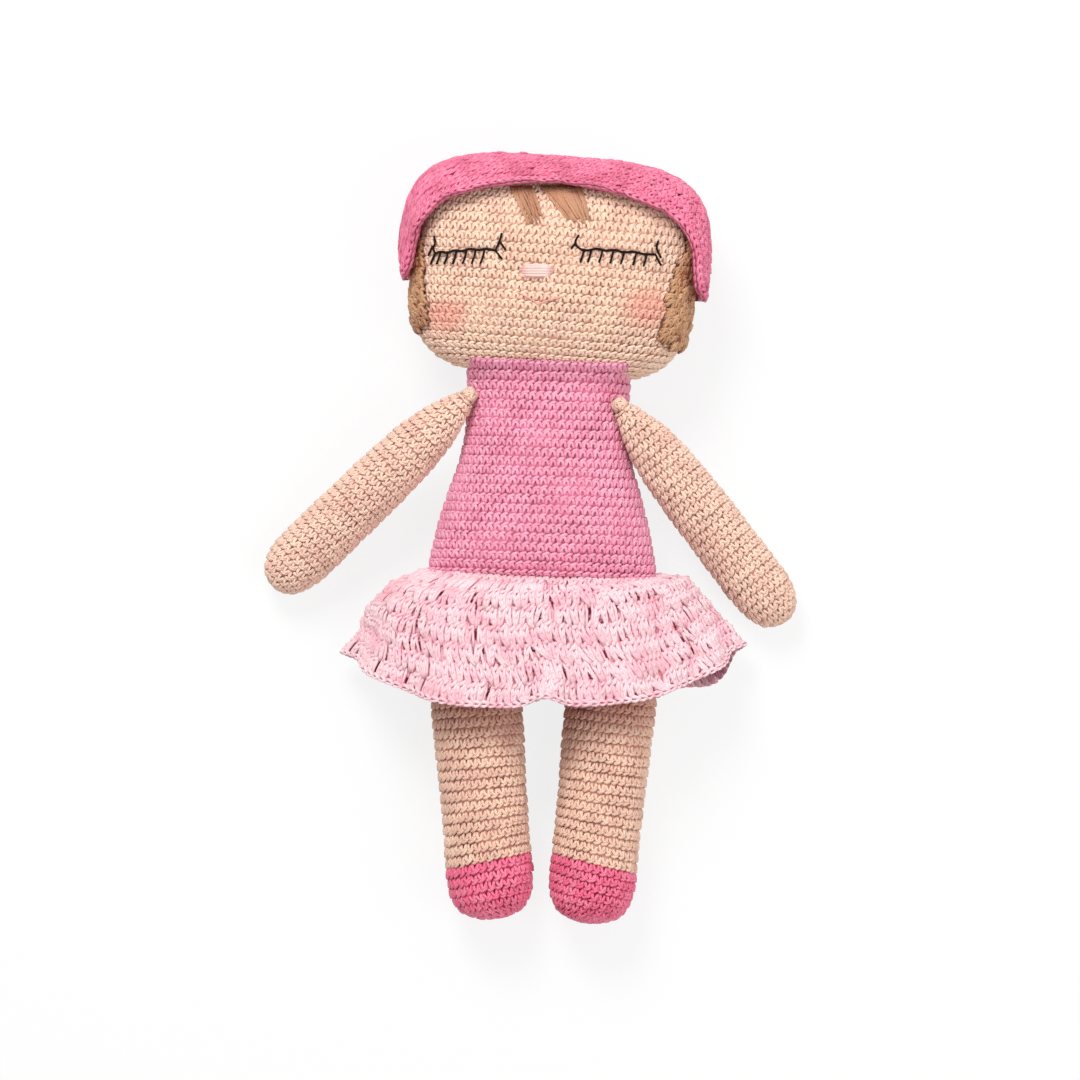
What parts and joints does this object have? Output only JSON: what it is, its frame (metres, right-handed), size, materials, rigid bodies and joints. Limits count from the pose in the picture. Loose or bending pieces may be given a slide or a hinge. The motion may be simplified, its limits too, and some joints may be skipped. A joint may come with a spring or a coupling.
{
  "type": "crocheted doll",
  "caption": "Crocheted stuffed doll lying on its back, with movable arms, legs and head, a gathered skirt and a hat that pulls off.",
  "frame": {"origin": "middle of the flat on the back of the body, on which the doll lies", "axes": "+Y from the hips to the head, +Z out of the front of the doll, +X to the viewer's right"},
  "size_m": [0.2089, 0.3003, 0.0579],
  "materials": {
    "bodice_yarn": "pink mercerised cotton yarn in single crochet",
    "skin_yarn": "skin-coloured cotton yarn in single crochet",
    "hat_yarn": "hot pink cotton yarn in fine crochet",
    "shoe_yarn": "hot pink cotton yarn in single crochet",
    "skirt_yarn": "pale pink cotton yarn in open stitches",
    "hair_yarn": "tan cotton yarn in single crochet",
    "fringe_yarn": "light brown laid yarn",
    "black_thread": "black sewing thread",
    "nose_yarn": "pale pink yarn in satin stitch",
    "mouth_thread": "pink thread",
    "filling": "white polyester fibrefill"
  },
  "bodies": {
    "body": {"torso_cover": "bodice_yarn", "torso_stuffing": "filling", "neck": "bodice_yarn", "skirt": "skirt_yarn", "left_hip_seam": "skin_yarn", "right_hip_seam": "skin_yarn"},
    "head": {"head_cover": "skin_yarn", "head_stuffing": "filling", "hair_cap": "hair_yarn", "left_bangs": "fringe_yarn", "right_bangs": "fringe_yarn", "left_eye_stitching": "black_thread", "right_eye_stitching": "black_thread", "nose_stitching": "nose_yarn", "mouth_stitching": "mouth_thread"},
    "hat": {"hat": "hat_yarn", "hat_edging": "hat_yarn"},
    "left_shoulder": {"left_shoulder_stitches": "skin_yarn"},
    "left_arm": {"left_arm_cover": "skin_yarn", "left_arm_stuffing": "filling"},
    "right_shoulder": {"right_shoulder_stitches": "skin_yarn"},
    "right_arm": {"right_arm_cover": "skin_yarn", "right_arm_stuffing": "filling"},
    "left_leg": {"left_leg_cover": "skin_yarn", "left_shoe": "shoe_yarn", "left_leg_stuffing": "filling"},
    "right_leg": {"right_leg_cover": "skin_yarn", "right_shoe": "shoe_yarn", "right_leg_stuffing": "filling"}
  },
  "joints": [
    {"name": "head_nod", "type": "hinge", "parent": "body", "child": "head", "pos_m": [0.0014, 0.042, 0.026], "axis": [1, 0, 0], "range_deg": [-10, 18], "deforming": ["neck"]},
    {"name": "hat_pull", "type": "slide", "parent": "head", "child": "hat", "axis": [0.0732, 0.9973, 0], "range_m": [0, 0.06]},
    {"name": "left_arm_swing", "type": "hinge", "parent": "body", "child": "left_shoulder", "pos_m": [-0.02917, 0.03699, 0.03819], "axis": [0, 0, -1], "range_deg": [-8, 55]},
    {"name": "left_arm_lift", "type": "hinge", "parent": "left_shoulder", "child": "left_arm", "pos_m": [-0.02917, 0.03699, 0.03819], "axis": [-0.6909, 0.723, 0], "range_deg": [0, 95]},
    {"name": "right_arm_swing", "type": "hinge", "parent": "body", "child": "right_shoulder", "pos_m": [0.02885, 0.03306, 0.04036], "axis": [0, 0, 1], "range_deg": [0, 63]},
    {"name": "right_arm_lift", "type": "hinge", "parent": "right_shoulder", "child": "right_arm", "pos_m": [0.02885, 0.03306, 0.04036], "axis": [-0.7902, -0.6129, 0], "range_deg": [0, 95]},
    {"name": "left_leg_bend", "type": "hinge", "parent": "body", "child": "left_leg", "pos_m": [-0.02899, -0.05357, 0.0224], "axis": [-1, 0, 0], "range_deg": [0, 90], "deforming": ["skirt"]},
    {"name": "right_leg_bend", "type": "hinge", "parent": "body", "child": "right_leg", "pos_m": [0.02858, -0.05548, 0.0224], "axis": [-1, 0, 0], "range_deg": [0, 90], "deforming": ["skirt"]}
  ]
}
